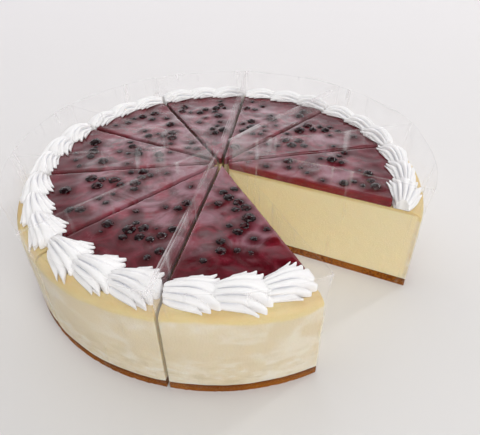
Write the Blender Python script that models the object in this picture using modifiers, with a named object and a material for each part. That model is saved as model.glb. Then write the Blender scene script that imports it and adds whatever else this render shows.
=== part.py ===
"""Round baked cheesecake, cut in ten with one slice taken out.

Every slice has a biscuit base, a baked cheese filling, a berry glaze with its berries, a border
of three piped cream shells and a clear film wrap. Metres, +Z up, origin under the cake's centre.
"""

import math
import random

import bmesh
import bpy
from mathutils import Vector, noise

# Driving dimensions of the whole cake
CAKE_RADIUS = 0.120
CAKE_HEIGHT = 0.0525
BASE_THICKNESS = 0.005
LAYER_GAP = 0.0003

# Cuts: the first is on the right of the front slice, and the slices follow clockwise from it
FIRST_CUT_DEG = -69.3
SLICE_ANGLES_DEG = (35.7, 36.0, 36.5, 34.5, 34.5, 35.0, 37.0, 35.0, 35.5)
KNIFE_GAP = 0.0017
TIP_LENGTH = 0.0022
ARC_STEPS = 6

# Baked rim: a rounded shoulder that sinks a little here and there
SHOULDER_RADIUS = 0.0042
SHOULDER_SEGMENTS = 3
SHOULDER_SINK = 0.0009
SHOULDER_SINK_WAVES = 60.0

# Glaze and berries
GLAZE_RADIUS = 0.103
GLAZE_THICKNESS = 0.0042
GLAZE_EDGE_ROUNDING = 0.0009
BERRIES_PER_SLICE = 13
BERRY_RADIUS = 0.0032
BERRY_SIZE_SPREAD = (0.78, 1.20)
BERRY_FLATNESS = (0.70, 0.86)
BERRY_BED = 0.0003
BERRY_PERCH = (-0.55, -0.05)
BERRY_FIELD = (0.013, 0.0965)
BERRY_WALL_CLEARANCE = 0.0012
BERRY_SPACING = 0.80
CLUSTER_CHANCE = 0.65
CLUSTER_STEP = (1.7, 2.2)
SCATTER_TRIES = 4000
BERRY_SIDES = 6
BERRY_RINGS = 4
SYRUP_MOUNDS_PER_SLICE = 3
SYRUP_MOUND_RADIUS = 0.0085
SYRUP_MOUND_RISE = 0.0008
SYRUP_MOUND_DEPTH = 0.0012
SYRUP_WALL_CLEARANCE = 0.0008

# Piped cream border
SHELLS_PER_SLICE = 3
BORDER_RADIUS = 0.1084
SHELL_OVERLAP = 0.0042
SHELL_OVERLAP_USED = (0.75, 0.95)
SHELL_SIZE_SPREAD = (0.94, 1.05)
SHELL_TAIL_HALF_WIDTH = 0.0036
SHELL_HEAD_HALF_WIDTH = 0.0080
SHELL_WIDENING_POWER = 0.8
SHELL_TAIL_HEIGHT = 0.0050
SHELL_CREST_HEIGHT = 0.0090
SHELL_CREST_PHASE = (0.10, 0.82)
SHELL_CREST_POWER = 0.8
SHELL_END_DROP = 0.35
SHELL_END_POWER = 6
SHELL_DOME_POWER = 0.45
SHELL_SIDE_SHORTENING = 0.42
SHELL_SIDE_POWER = 1.5
SHELL_SPLAY = 0.5
SHELL_RIDGES = 6
SHELL_ROWS = 4
SHELF_WIDTHS = (0.0050, 0.0068)
RIDGE_DEPTH = 0.0018
RIDGE_SHARE = 0.4
RIDGE_RISE_START = 0.1
TAIL_RIDGE_SHARE = 0.35
TOOTH_LENGTH = 0.0054
MIDDLE_TOOTH_SHARE = 0.5
TOOTH_FLICKS = (0.0026, 0.0030)
TOOTH_SHARE = 0.6
TOOTH_START_POWER = 3
TOOTH_LIFTS = (0.0003, 0.0010)
CREAM_KEEP = (0.0930, 0.1194)
CREAM_KEEP_HEIGHT = 0.020
CREAM_DROOP = 0.8
SHELL_SKIRT = 0.003

# Film wrap
FILM_HEIGHT = 0.070
FILM_FOOT = 0.0006
FILM_THICKNESS = 0.0003
FILM_CLEARANCE = 0.0003
FILM_FLARE = 0.0022
FILM_WAVE = 0.0012
FILM_WAVES = 45.0
FILM_FLARE_POWER = 8
FILM_WALL_STEPS = 3
FILM_START = 0.0045

SEED = 11
SAME_HEIGHT = 1e-5

# Colours (linear) and roughness of each material
MATERIALS = {
    "biscuit": ((0.22, 0.09, 0.025), 0.9),
    "baked_cheese": ((0.74, 0.60, 0.36), 0.6),
    "berry_glaze": ((0.09, 0.006, 0.016), 0.12),
    "whipped_cream": ((0.86, 0.85, 0.83), 0.55),
    "clear_film": ((0.93, 0.93, 0.93), 0.1),
}


def clear_scene():
    for old in list(bpy.data.objects):
        bpy.data.objects.remove(old, do_unlink=True)


def make_material(name):
    colour, roughness = MATERIALS[name]
    material = bpy.data.materials.new(name)
    material.use_nodes = True
    shader = material.node_tree.nodes["Principled BSDF"]
    shader.inputs["Base Color"].default_value = (*colour, 1.0)
    shader.inputs["Roughness"].default_value = roughness
    shader.inputs["Metallic"].default_value = 0.0
    if name == "clear_film":
        shader.inputs["Alpha"].default_value = 0.25
    return material


def add_object(name, bm, collection, material=None, parent=None):
    """Makes an object from bm, which is freed."""
    bmesh.ops.recalc_face_normals(bm, faces=bm.faces)
    mesh = bpy.data.meshes.new(name)
    bm.to_mesh(mesh)
    bm.free()
    obj = bpy.data.objects.new(name, mesh)
    collection.objects.link(obj)
    if material is not None:
        mesh.materials.append(material)
    obj.parent = parent
    return obj


def bake_modifiers(obj):
    """Replaces the object's mesh by the one its modifiers make, and drops them."""
    graph = bpy.context.evaluated_depsgraph_get()
    mesh = bpy.data.meshes.new_from_object(obj.evaluated_get(graph))
    obj.modifiers.clear()
    obj.data = mesh


def boolean(obj, operation, other):
    """Adds a Boolean with one object, or with all of a collection.

    The fine ridges and the half-sunk berries leave open edges with the EXACT solver.
    """
    modifier = obj.modifiers.new(operation.title(), "BOOLEAN")
    modifier.operation = operation
    modifier.solver = "MANIFOLD"
    if isinstance(other, bpy.types.Collection):
        modifier.operand_type = "COLLECTION"
        modifier.collection = other
    else:
        modifier.object = other


def remove_helpers(collection):
    for helper in list(collection.objects):
        bpy.data.objects.remove(helper, do_unlink=True)


def hide_helper(obj):
    obj.hide_render = True
    obj.display_type = "WIRE"


def wedge_outline(reach, half_angle):
    """Outline of a slice from above: its blunt tip, then the arc. The apex is the origin."""
    angles = [half_angle * (2 * i / ARC_STEPS - 1) for i in range(ARC_STEPS + 1)]
    points = [Vector((reach * math.cos(a), reach * math.sin(a), 0.0)) for a in angles]
    ends = (half_angle, -half_angle)
    return points + [Vector((math.cos(a), math.sin(a), 0.0)) * TIP_LENGTH for a in ends]


def wedge_block(reach, half_angle, z_low, z_high):
    """A slice-shaped block between two heights."""
    bm = bmesh.new()
    outline = wedge_outline(reach, half_angle)
    floor = bm.faces.new([bm.verts.new(point + Vector((0, 0, z_low))) for point in outline])
    grown = bmesh.ops.extrude_face_region(bm, geom=[floor])
    lifted = [item for item in grown["geom"] if isinstance(item, bmesh.types.BMVert)]
    bmesh.ops.translate(bm, verts=lifted, vec=(0, 0, z_high - z_low))
    return bm


def top_edges(bm, z_high, least_reach=0.0):
    """Edges of the top outline whose two ends lie at least least_reach from the apex."""
    found = []
    for edge in bm.edges:
        on_top = all(abs(v.co.z - z_high) < SAME_HEIGHT for v in edge.verts)
        if on_top and all(v.co.xy.length > least_reach for v in edge.verts):
            found.append(edge)
    return found


class Slice:
    """Places of one slice: its angles, its apex and the empty that carries its pieces."""

    def __init__(self, number, start_deg, angle_deg, collection):
        self.number = number
        self.half_angle = math.radians(angle_deg) / 2
        self.middle = math.radians(start_deg - angle_deg / 2)
        self.apex_offset = KNIFE_GAP / 2 / math.sin(self.half_angle)
        self.collection = collection
        self.empty = bpy.data.objects.new(f"slice_{number:02d}", None)
        self.empty.location = (
            self.apex_offset * math.cos(self.middle),
            self.apex_offset * math.sin(self.middle),
            0.0,
        )
        self.empty.rotation_euler.z = self.middle
        collection.objects.link(self.empty)

    def name(self, piece):
        return f"slice_{self.number:02d}_{piece}"

    def reach(self, cake_radius):
        """Distance from the slice's apex that ends on the given radius of the cake."""
        return cake_radius - self.apex_offset

    def add(self, piece, bm, material):
        return add_object(self.name(piece), bm, self.collection, material, self.empty)

    def wave(self, point, waves):
        """A smooth random value of -1 to 1 that differs from slice to slice."""
        return noise.noise(Vector((point.x * waves, point.y * waves, self.number * 3.7)))

    def wall_distance(self, point):
        """Distance of a point inside the slice from its nearer cut face."""
        return point.xy.length * math.sin(self.half_angle - abs(math.atan2(point.y, point.x)))


def make_base(piece, material):
    bm = wedge_block(piece.reach(CAKE_RADIUS), piece.half_angle, 0.0, BASE_THICKNESS)
    return piece.add("base", bm, material)


def make_filling(piece, material):
    reach = piece.reach(CAKE_RADIUS)
    bm = wedge_block(reach, piece.half_angle, BASE_THICKNESS + LAYER_GAP, CAKE_HEIGHT)
    bmesh.ops.bevel(
        bm,
        geom=top_edges(bm, CAKE_HEIGHT, reach / 2),
        offset=SHOULDER_RADIUS,
        segments=SHOULDER_SEGMENTS,
        profile=0.5,
        affect="EDGES",
    )
    for vert in bm.verts:
        if CAKE_HEIGHT - SHOULDER_RADIUS / 2 < vert.co.z < CAKE_HEIGHT - SAME_HEIGHT:
            vert.co.z -= SHOULDER_SINK * (0.5 + 0.5 * piece.wave(vert.co, SHOULDER_SINK_WAVES))
    return piece.add("filling", bm, material)


def scatter_berries(piece, draw):
    """Berry places: clusters first, then single ones, all clear of the cuts and of the border."""
    inner, outer = BERRY_FIELD
    places = []
    cluster = None
    for _ in range(SCATTER_TRIES):
        if len(places) == BERRIES_PER_SLICE:
            break
        if cluster is None or draw.random() > CLUSTER_CHANCE:
            reach = math.sqrt(draw.uniform(inner**2, outer**2)) - piece.apex_offset
            angle = draw.uniform(-piece.half_angle, piece.half_angle)
            place = Vector((reach * math.cos(angle), reach * math.sin(angle), 0.0))
        else:
            turn = draw.uniform(0, 2 * math.pi)
            step = BERRY_RADIUS * draw.uniform(*CLUSTER_STEP)
            place = cluster + Vector((math.cos(turn), math.sin(turn), 0.0)) * step
        radius = BERRY_RADIUS * draw.uniform(*BERRY_SIZE_SPREAD)
        if place.x <= 0 or abs(math.atan2(place.y, place.x)) >= piece.half_angle:
            continue
        if piece.wall_distance(place) < radius + BERRY_WALL_CLEARANCE:
            continue
        if not inner - piece.apex_offset < place.length < piece.reach(outer) - radius:
            continue
        if any((place - other).length < BERRY_SPACING * (radius + size) for other, size in places):
            continue
        places.append((place, radius))
        cluster = place
    return places


def ball(radius, flatness, centre, turn):
    """A coarse ball, flattened and turned, for a berry or a mound of syrup."""
    bm = bmesh.new()
    bmesh.ops.create_uvsphere(bm, u_segments=BERRY_SIDES, v_segments=BERRY_RINGS, radius=radius)
    bmesh.ops.scale(bm, vec=(1, 1, flatness), verts=bm.verts)
    for vert in bm.verts:
        x, y = vert.co.x, vert.co.y
        vert.co.x = x * math.cos(turn) - y * math.sin(turn)
        vert.co.y = x * math.sin(turn) + y * math.cos(turn)
        vert.co += centre
    return bm


def make_topping(piece, material):
    """Glaze slab with its berries and low mounds of syrup fused on."""
    draw = random.Random(SEED * 100 + piece.number)
    z_low = CAKE_HEIGHT + LAYER_GAP
    z_high = z_low + GLAZE_THICKNESS
    bm = wedge_block(piece.reach(GLAZE_RADIUS), piece.half_angle, z_low, z_high)
    bmesh.ops.bevel(
        bm,
        geom=top_edges(bm, z_high),
        offset=GLAZE_EDGE_ROUNDING,
        segments=1,
        affect="EDGES",
    )
    slab = piece.add("topping", bm, material)
    helpers = bpy.data.collections.new("berries")
    bpy.context.scene.collection.children.link(helpers)
    places = scatter_berries(piece, draw)
    for place, radius in places:
        height = z_high + radius * draw.uniform(*BERRY_PERCH)
        flatness = draw.uniform(*BERRY_FLATNESS)
        centre = place + Vector((0, 0, max(height, z_low + radius * flatness + BERRY_BED)))
        lump = ball(radius, flatness, centre, draw.uniform(0, 1))
        hide_helper(add_object("berry", lump, helpers, material, piece.empty))
    for place, _ in places[:: BERRIES_PER_SLICE // SYRUP_MOUNDS_PER_SLICE][:SYRUP_MOUNDS_PER_SLICE]:
        radius = min(SYRUP_MOUND_RADIUS, piece.wall_distance(place) - SYRUP_WALL_CLEARANCE)
        radius = min(radius, piece.reach(BERRY_FIELD[1]) - place.length)
        flatness = (SYRUP_MOUND_DEPTH + SYRUP_MOUND_RISE) / radius
        centre = place + Vector((0, 0, z_high - SYRUP_MOUND_DEPTH))
        lump = ball(radius, flatness, centre, draw.uniform(0, 1))
        hide_helper(add_object("mound", lump, helpers, material, piece.empty))
    bpy.context.view_layer.update()
    boolean(slab, "UNION", helpers)
    bpy.context.view_layer.update()
    bake_modifiers(slab)
    remove_helpers(helpers)
    bpy.data.collections.remove(helpers)
    return slab


def shoulder_droop(piece, reach):
    """How far the rounded rim lies below the top of the cheese at a distance from the apex."""
    past = max(0.0, min(SHOULDER_RADIUS, reach - piece.reach(CAKE_RADIUS) + SHOULDER_RADIUS))
    return SHOULDER_RADIUS - math.sqrt(SHOULDER_RADIUS**2 - past**2)


def shell_point(across, along, length, size):
    """A point of one piped shell: across runs -1 to 1 over its ridges, along 0 to 1, tail to head.

    The result is the distance along the border, the distance out from its middle line and the
    height. Ridges spread like a fan and end in teeth, and the grooves between them end short. The
    inner side of a wide shell stands on the glaze.
    """
    ridge = 1 - round((across + 1) * SHELL_RIDGES) % 2
    widening = SHELL_HEAD_HALF_WIDTH - SHELL_TAIL_HALF_WIDTH
    half_width = SHELL_TAIL_HALF_WIDTH + widening * along**SHELL_WIDENING_POWER
    first, last = SHELL_CREST_PHASE
    crest = math.sin(math.pi * (first + (last - first) * along)) ** SHELL_CREST_POWER
    height = SHELL_TAIL_HEIGHT + (SHELL_CREST_HEIGHT - SHELL_TAIL_HEIGHT) * crest
    height *= 1 - SHELL_END_DROP * along**SHELL_END_POWER
    rise = math.sin(math.pi * min(1.0, RIDGE_RISE_START + along))
    rise = TAIL_RIDGE_SHARE + (1 - TAIL_RIDGE_SHARE) * rise
    relief = RIDGE_DEPTH * rise * (ridge - 1 + RIDGE_SHARE)
    near_head = along**TOOTH_START_POWER
    fringe = near_head * (ridge - 1 + TOOTH_SHARE)
    spread = abs(math.sin(across * math.pi / 2)) ** (1 - SHELL_SPLAY * near_head)
    flick = TOOTH_FLICKS[0] if across < 0 else TOOTH_FLICKS[1]
    out = (half_width + relief + flick * fringe) * math.copysign(spread, across)
    narrow, wide = SHELF_WIDTHS
    on_glaze = max(0.0, min(1.0, (half_width - narrow) / (wide - narrow)))
    shelf = (GLAZE_THICKNESS + LAYER_GAP) * on_glaze if across < 0 else 0.0
    dome = (height + relief - shelf) * max(0.0, 1 - spread**2) ** SHELL_DOME_POWER
    up = shelf + max(dome, TOOTH_LIFTS[ridge])
    end = length * (1 - SHELL_SIDE_SHORTENING * abs(across) ** SHELL_SIDE_POWER)
    tooth = MIDDLE_TOOTH_SHARE + (1 - MIDDLE_TOOTH_SHARE) * abs(across)
    return along * end + TOOTH_LENGTH * fringe * tooth, out * size, up * size


def make_shell(piece, start, length, size):
    """One closed shell that starts at the given distance along the border."""
    columns = 2 * SHELL_RIDGES
    bm = bmesh.new()
    bmesh.ops.create_grid(bm, x_segments=columns, y_segments=SHELL_ROWS, size=1.0)
    bed = CAKE_HEIGHT + LAYER_GAP
    middle = piece.reach(BORDER_RADIUS)
    for vert in bm.verts:
        travel, out, up = shell_point(vert.co.x, (vert.co.y + 1) / 2, length, size)
        angle = (start + travel) / middle
        reach = middle + out
        height = bed + up - CREAM_DROOP * shoulder_droop(piece, reach)
        vert.co = Vector((reach * math.cos(angle), reach * math.sin(angle), height))
    rim = [edge for edge in bm.edges if edge.is_boundary]
    grown = bmesh.ops.extrude_edge_only(bm, edges=rim)
    lowered = [item for item in grown["geom"] if isinstance(item, bmesh.types.BMVert)]
    for vert in lowered:
        vert.co.z = bed - SHELL_SKIRT
    bmesh.ops.holes_fill(bm, edges=[edge for edge in bm.edges if edge.is_boundary], sides=0)
    bmesh.ops.triangulate(bm, faces=[face for face in bm.faces if len(face.verts) > 4])
    return bm


def make_cream_bed(piece, helpers):
    """The space the cream may fill: over the glaze's edge, down to the cheese outside it."""
    inner, outer = (piece.reach(radius) for radius in CREAM_KEEP)
    step = piece.reach(GLAZE_RADIUS) + 2 * LAYER_GAP
    low = CAKE_HEIGHT + LAYER_GAP
    shelf = low + GLAZE_THICKNESS + LAYER_GAP
    top = low + CREAM_KEEP_HEIGHT
    shoulder = piece.reach(CAKE_RADIUS) - SHOULDER_RADIUS
    between = (shoulder + outer) / 2
    profile = (
        (inner, shelf),
        (step, shelf),
        (step, low),
        (shoulder, low),
        (between, low - shoulder_droop(piece, between)),
        (outer, low - shoulder_droop(piece, outer)),
        (outer, top),
        (inner, top),
    )
    turn = -piece.half_angle
    bm = bmesh.new()
    corners = [bm.verts.new((r * math.cos(turn), r * math.sin(turn), z)) for r, z in profile]
    section = bm.faces.new(corners)
    bmesh.ops.spin(
        bm,
        geom=[section, *section.edges, *section.verts],
        axis=(0, 0, 1),
        cent=(0, 0, 0),
        angle=2 * piece.half_angle,
        steps=ARC_STEPS,
    )
    bed = add_object("cream_bed", bm, helpers, None, piece.empty)
    hide_helper(bed)
    return bed


def make_cream(piece, material):
    """Three shells, the tail of each on the head of the one before, trimmed by the cuts."""
    draw = random.Random(SEED * 200 + piece.number)
    middle = piece.reach(BORDER_RADIUS)
    border = 2 * piece.half_angle * middle
    pitch = (border - SHELL_OVERLAP) / SHELLS_PER_SLICE
    helpers = bpy.data.collections.new("shells")
    cutters = bpy.data.collections.new("cream_beds")
    bpy.context.scene.collection.children.link(helpers)
    bpy.context.scene.collection.children.link(cutters)
    cream = None
    for index in range(SHELLS_PER_SLICE):
        start = -border / 2 + index * pitch
        length = pitch + SHELL_OVERLAP * draw.uniform(*SHELL_OVERLAP_USED)
        bm = make_shell(piece, start, length, draw.uniform(*SHELL_SIZE_SPREAD))
        if cream is None:
            cream = piece.add("cream", bm, material)
        else:
            hide_helper(add_object("shell", bm, helpers, material, piece.empty))
    bed = make_cream_bed(piece, cutters)
    bpy.context.view_layer.update()
    boolean(cream, "UNION", helpers)
    boolean(cream, "INTERSECT", bed)
    bpy.context.view_layer.update()
    bake_modifiers(cream)
    for group in (helpers, cutters):
        remove_helpers(group)
        bpy.data.collections.remove(group)
    return cream


def film_path(piece):
    """Plan of the film: out along one cut face, round the baked side and back in."""
    reach = piece.reach(CAKE_RADIUS) + FILM_CLEARANCE / math.cos(piece.half_angle / ARC_STEPS)
    slide = FILM_CLEARANCE / math.sin(piece.half_angle)
    path = []
    for side in (-1, 1):
        direction = Vector((math.cos(piece.half_angle), side * math.sin(piece.half_angle), 0.0))
        corner = wedge_corner(piece.half_angle, reach, slide) * direction + Vector((-slide, 0, 0))
        start = Vector((-slide, 0, 0)) + direction * (FILM_START + slide)
        wall = [start.lerp(corner, i / FILM_WALL_STEPS) for i in range(FILM_WALL_STEPS + 1)]
        path.append(wall)
    arc = []
    for i in range(1, ARC_STEPS):
        angle = piece.half_angle * (2 * i / ARC_STEPS - 1)
        arc.append(Vector((reach * math.cos(angle), reach * math.sin(angle), 0.0)))
    return path[0] + arc + path[1][::-1]


def wedge_corner(half_angle, reach, slide):
    """Length along a wall that starts slide behind the apex, up to the given reach from the apex."""
    along = slide * math.cos(half_angle)
    return along + math.sqrt(reach**2 - (slide * math.sin(half_angle)) ** 2)


def make_film(piece, material):
    """Thin band that stands taller than the cake, flared and slightly wavy above it."""
    path = film_path(piece)
    bm = bmesh.new()
    rows = []
    for height in (FILM_FOOT, CAKE_HEIGHT, FILM_HEIGHT):
        row = []
        for place in path:
            spot = Vector((place.x, place.y, height))
            if height == FILM_HEIGHT:
                rim = (place.length / piece.reach(CAKE_RADIUS)) ** FILM_FLARE_POWER
                flare = rim * (FILM_FLARE + FILM_WAVE * piece.wave(place, -FILM_WAVES))
                spot.z += FILM_WAVE * piece.wave(place, FILM_WAVES)
                spot += place.normalized() * flare
            row.append(bm.verts.new(spot))
        rows.append(row)
    for low, high in zip(rows, rows[1:]):
        for i in range(len(path) - 1):
            bm.faces.new((low[i], low[i + 1], high[i + 1], high[i]))
    film = piece.add("film", bm, material)
    solidify = film.modifiers.new("Solidify", "SOLIDIFY")
    solidify.thickness = FILM_THICKNESS
    solidify.offset = 1.0
    solidify.use_even_offset = True
    return film


def main():
    clear_scene()
    collection = bpy.data.collections.new("cheesecake")
    bpy.context.scene.collection.children.link(collection)
    materials = {name: make_material(name) for name in MATERIALS}
    start = FIRST_CUT_DEG
    for index, angle in enumerate(SLICE_ANGLES_DEG):
        piece = Slice(index + 1, start, angle, collection)
        bpy.context.view_layer.update()
        make_base(piece, materials["biscuit"])
        make_filling(piece, materials["baked_cheese"])
        make_topping(piece, materials["berry_glaze"])
        make_cream(piece, materials["whipped_cream"])
        make_film(piece, materials["clear_film"])
        start -= angle


main()
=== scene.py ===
"""The looks of a round baked cheesecake, cut in ten with one slice taken out.

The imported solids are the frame. Each section makes one kind of piece for all nine slices, from the
biscuit up to the film, and hides the plain solids that those pieces stand for.
"""

import math
import random

import bmesh
import bpy
from mathutils import Matrix, Vector, noise


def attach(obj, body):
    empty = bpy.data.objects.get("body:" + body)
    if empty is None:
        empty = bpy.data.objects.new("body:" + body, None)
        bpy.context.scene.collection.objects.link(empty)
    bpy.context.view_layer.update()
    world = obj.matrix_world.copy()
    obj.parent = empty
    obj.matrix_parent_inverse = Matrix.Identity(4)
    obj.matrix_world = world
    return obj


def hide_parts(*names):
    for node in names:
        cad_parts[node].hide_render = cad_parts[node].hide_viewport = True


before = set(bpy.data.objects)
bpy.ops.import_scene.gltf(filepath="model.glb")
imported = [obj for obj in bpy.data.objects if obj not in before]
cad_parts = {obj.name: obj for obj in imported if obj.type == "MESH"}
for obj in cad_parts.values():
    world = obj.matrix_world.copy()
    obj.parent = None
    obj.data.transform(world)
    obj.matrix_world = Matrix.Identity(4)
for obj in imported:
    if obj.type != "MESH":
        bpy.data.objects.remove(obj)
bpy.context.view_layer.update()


# The nine slices. A round cake is cut with a wet knife along radii, and each slice keeps its place.
# A slice is worked out on its own, with its point at the origin and its middle line along +X, and
# is then turned and moved to where it stands in the cake.

CAKE_RADIUS = 0.120
FIRST_CUT_DEG = -69.3
SLICE_ANGLES_DEG = (35.7, 36.0, 36.5, 34.5, 34.5, 35.0, 37.0, 35.0, 35.5)
KNIFE_GAP = 0.0017
TIP_LENGTH = 0.0022
SLICE_STRIDE = 7.3


class Slice:
    """Where one slice stands, and how far its cut faces reach."""

    def __init__(self, number, start_deg, angle_deg):
        self.number = number
        self.half_angle = math.radians(angle_deg) / 2
        self.apex_offset = KNIFE_GAP / 2 / math.sin(self.half_angle)
        middle = math.radians(start_deg - angle_deg / 2)
        turn = Matrix.Rotation(middle, 4, "Z")
        self.matrix = turn @ Matrix.Translation((self.apex_offset, 0, 0))

    def node(self, kind):
        return f"slice_{self.number:02d}_{kind}"

    def reach(self, cake_radius):
        """Distance from the slice's point that ends on the given radius of the cake."""
        return cake_radius - self.apex_offset

    def wall_distance(self, point):
        """How far a point lies inside the nearer cut face."""
        return point.xy.length * math.sin(self.half_angle - abs(math.atan2(point.y, point.x)))

    def nearer_cut(self, point):
        """The cut face that a point is nearer to: the slice's number, and the side as 1 or -1."""
        return self.number, int(math.copysign(1, point.y))

    def ripple(self, point, waves, shift=0.0):
        """A smooth random value of -1 to 1, different in every slice."""
        return noise.noise(point * waves + Vector((0, 0, SLICE_STRIDE * self.number + shift)))


slices = []
cut_deg = FIRST_CUT_DEG
for index, angle_deg in enumerate(SLICE_ANGLES_DEG):
    slices.append(Slice(index + 1, cut_deg, angle_deg))
    cut_deg -= angle_deg


# Biscuit base: crushed biscuit pressed with butter into the tin, 5 mm thick. It is baked brown
# and crumbly. Its outer edge is painted the darkest, partly toasted crust and partly painted
# shade, most towards its top. The filling lies on it.

BASE_THICKNESS = 0.005
BASE_PITCHES = (0.0016, 0.0024, 0.0010)
BISCUIT_CRUMBLE = 0.00045
CRUMBLE_WAVES = 420.0
CRUMBLED_DEPTH_OUTSIDE = 0.0005
CRUMBLED_DEPTH_CUT = 0.0003
CRUMBLE_ON_TOP = 0.5
CRUMBLE_INSET = 0.3
BISCUIT_LIGHT = (0.38, 0.120, 0.006)
BISCUIT_DARK = (0.15, 0.033, 0.001)
BISCUIT_OUTSIDE = (CAKE_RADIUS - 0.006, CAKE_RADIUS - 0.001)
BISCUIT_DARKER_TOP = (0.0020, 0.0046)
CRUMB_RELIEF = 0.0005
GRAIN_RELIEF = 0.0003
SHARP_EDGE_DEG = 55.0
FINE_STEPS = 6


class Value:
    """A socket that stands in shader expressions on plain numbers."""

    def __init__(self, tree, socket):
        self.tree = tree
        self.socket = socket

    def maths(self, operation, *others):
        return self.tree.add("ShaderNodeMath", {"operation": operation}, *others)["Value"]

    def __add__(self, other):
        return self.maths("ADD", self, other)

    def __radd__(self, other):
        return self.maths("ADD", other, self)

    def __sub__(self, other):
        return self.maths("SUBTRACT", self, other)

    def __rsub__(self, other):
        return self.maths("SUBTRACT", other, self)

    def __mul__(self, other):
        return self.maths("MULTIPLY", self, other)

    def __rmul__(self, other):
        return self.maths("MULTIPLY", other, self)

    def __pow__(self, other):
        return self.maths("POWER", self, other)

    def step(self, low, high):
        """Runs smoothly from 0 at low to 1 at high."""
        inputs = {"Value": self, "From Min": low, "From Max": high}
        settings = {"interpolation_type": "SMOOTHSTEP"}
        return self.tree.add("ShaderNodeMapRange", settings, **inputs)["Result"]

    def clamp(self):
        return self.tree.add("ShaderNodeClamp", {}, self)["Result"]


class Finish:
    """The node tree of one material, built from its shader back."""

    def __init__(self, name, **shader):
        self.material = bpy.data.materials.new(name)
        self.material.use_nodes = True
        self.nodes = self.material.node_tree.nodes
        self.links = self.material.node_tree.links
        self.shader = self.nodes["Principled BSDF"]
        self.output = self.nodes["Material Output"]
        self.set(self.shader, shader)
        self.place = self.add("ShaderNodeTexCoord")["Object"]

    def set(self, node, inputs):
        for key, value in inputs.items():
            socket = node.inputs[key]
            if isinstance(value, Value):
                self.links.new(value.socket, socket)
            elif isinstance(value, tuple) and len(value) == 3 and socket.type == "RGBA":
                socket.default_value = (*value, 1.0)
            else:
                socket.default_value = value

    def add(self, kind, settings=None, *places, **named):
        """One node: its type, its settings, and the values or links of its sockets."""
        node = self.nodes.new(kind)
        for key, value in (settings or {}).items():
            setattr(node, key, value)
        self.set(node, {**dict(enumerate(places)), **named})
        return {socket.name: Value(self, socket) for socket in node.outputs if socket.enabled}

    def blend(self, share, first, second):
        """A colour that goes from first to second as share goes from 0 to 1."""
        node = self.nodes.new("ShaderNodeMix")
        node.data_type = "RGBA"
        self.set(node, {"Factor": share})
        colours = [socket for socket in node.inputs if socket.type == "RGBA"]
        for socket, value in zip(colours, (first, second)):
            if isinstance(value, Value):
                self.links.new(value.socket, socket)
            else:
                socket.default_value = (*value, 1.0)
        return Value(self, next(socket for socket in node.outputs if socket.type == "RGBA"))

    def cloud(self, scale, detail=3.0, roughness=0.5, place=None, distortion=0.0):
        """Soft random patches of 0 to 1."""
        inputs = {"Scale": scale, "Detail": detail, "Roughness": roughness, "Distortion": distortion}
        return self.add("ShaderNodeTexNoise", {}, Vector=place or self.place, **inputs)["Fac"]

    def cells(self, scale):
        """Distance to the nearest of many scattered points."""
        return self.add("ShaderNodeTexVoronoi", {}, Vector=self.place, Scale=scale)["Distance"]

    def stretched(self, x, y, z):
        """The place on the object, scaled apart along each axis."""
        settings = {"operation": "MULTIPLY"}
        return self.add("ShaderNodeVectorMath", settings, self.place, (x, y, z))["Vector"]

    def height(self):
        return self.add("ShaderNodeSeparateXYZ", {}, self.place)["Z"]

    def mark(self, name):
        """A value that the piece's mesh carries at each point."""
        return self.add("ShaderNodeAttribute", {"attribute_name": name})["Fac"]

    def radius(self):
        """Distance from the cake's middle axis."""
        parts = self.add("ShaderNodeSeparateXYZ", {}, self.place)
        return (parts["X"] * parts["X"] + parts["Y"] * parts["Y"]) ** 0.5

    def bump(self, *reliefs):
        """Stacks bumps, each a pair of the relief and its height in metres."""
        normal = None
        for relief, height in reliefs:
            inputs = {"Height": relief, "Distance": height, "Strength": 1.0}
            if normal is not None:
                inputs["Normal"] = normal
            normal = self.add("ShaderNodeBump", {}, **inputs)["Normal"]
        self.set(self.shader, {"Normal": normal})

    def paint(self, **inputs):
        """Sets the shader's sockets, with spaces in their names written as underscores."""
        self.set(self.shader, {key.replace("_", " "): value for key, value in inputs.items()})


def rounded(depths, radius):
    """Depths below several faces, changed so that a point near their shared edge lies on a curve."""
    inside = [max(0.0, 1 - depth / radius) for depth in depths]
    spread = math.hypot(*inside)
    if spread == 0:
        return depths
    pull = max(inside) / spread
    return [radius * (1 - part * pull) if part > 0 else depth for part, depth in zip(inside, depths)]


def spaced(low, high, pitch, fine_end=0.0):
    """Even steps from low to high, with finer ones over the last fine_end."""
    steps = max(1, round((high - fine_end - low) / pitch))
    places = [low + (high - fine_end - low) * i / steps for i in range(steps + 1)]
    if fine_end:
        places += [high - fine_end * (1 - i / FINE_STEPS) for i in range(1, FINE_STEPS + 1)]
    return places


def wedge_mesh(turns, reaches, heights, shape):
    """A closed block of a slice, with every point of its faces put in place by shape."""
    counts = (len(turns), len(reaches), len(heights))
    bm = bmesh.new()
    verts = {}

    def vert(key):
        if key not in verts:
            i, j, k = key
            verts[key] = bm.verts.new(shape(turns[i], reaches[j], heights[k]))
        return verts[key]

    for axis in range(3):
        first, second = [other for other in range(3) if other != axis]
        for end in (0, counts[axis] - 1):
            for a in range(counts[first] - 1):
                for b in range(counts[second] - 1):
                    corners = []
                    for da, db in ((0, 0), (1, 0), (1, 1), (0, 1)):
                        key = [end, end, end]
                        key[first] = a + da
                        key[second] = b + db
                        corners.append(vert(tuple(key)))
                    bm.faces.new(corners)
    bmesh.ops.recalc_face_normals(bm, faces=bm.faces)
    return bm


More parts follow.
